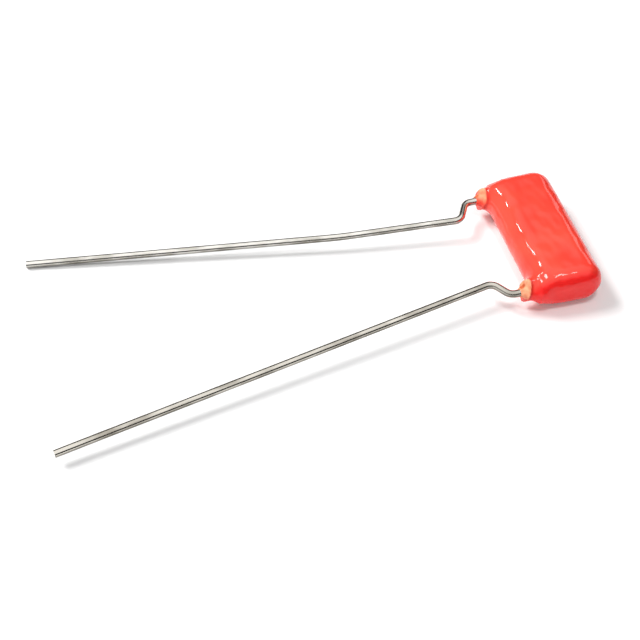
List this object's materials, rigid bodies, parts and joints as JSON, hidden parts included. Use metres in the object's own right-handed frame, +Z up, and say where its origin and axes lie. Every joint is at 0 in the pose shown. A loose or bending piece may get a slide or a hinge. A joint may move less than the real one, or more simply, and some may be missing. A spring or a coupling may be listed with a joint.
{
  "type": "film capacitor",
  "caption": "Dipped polyester film capacitor: flat oval coated body with drawn-out collars and kinked, splayed wire leads for through-hole boards.",
  "frame": {"origin": "centre of the coat's flat underside, on which the part lies", "axes": "+X across the body away from the leads, +Y along the film roll towards the far lead, +Z up out of the broad face"},
  "size_m": [0.044, 0.0205, 0.0034],
  "materials": {
    "coat": "glossy dipped epoxy, orange red",
    "film": "metallised polyester film, pressed roll",
    "sprayed_metal": "matt flame-sprayed metal",
    "tinned_wire": "bright tinned wire"
  },
  "bodies": {
    "root": {"epoxy_coat": "coat", "film_roll": "film", "end_spray_near": "sprayed_metal", "end_spray_far": "sprayed_metal", "lead_near": "tinned_wire", "lead_far": "tinned_wire"}
  },
  "joints": []
}
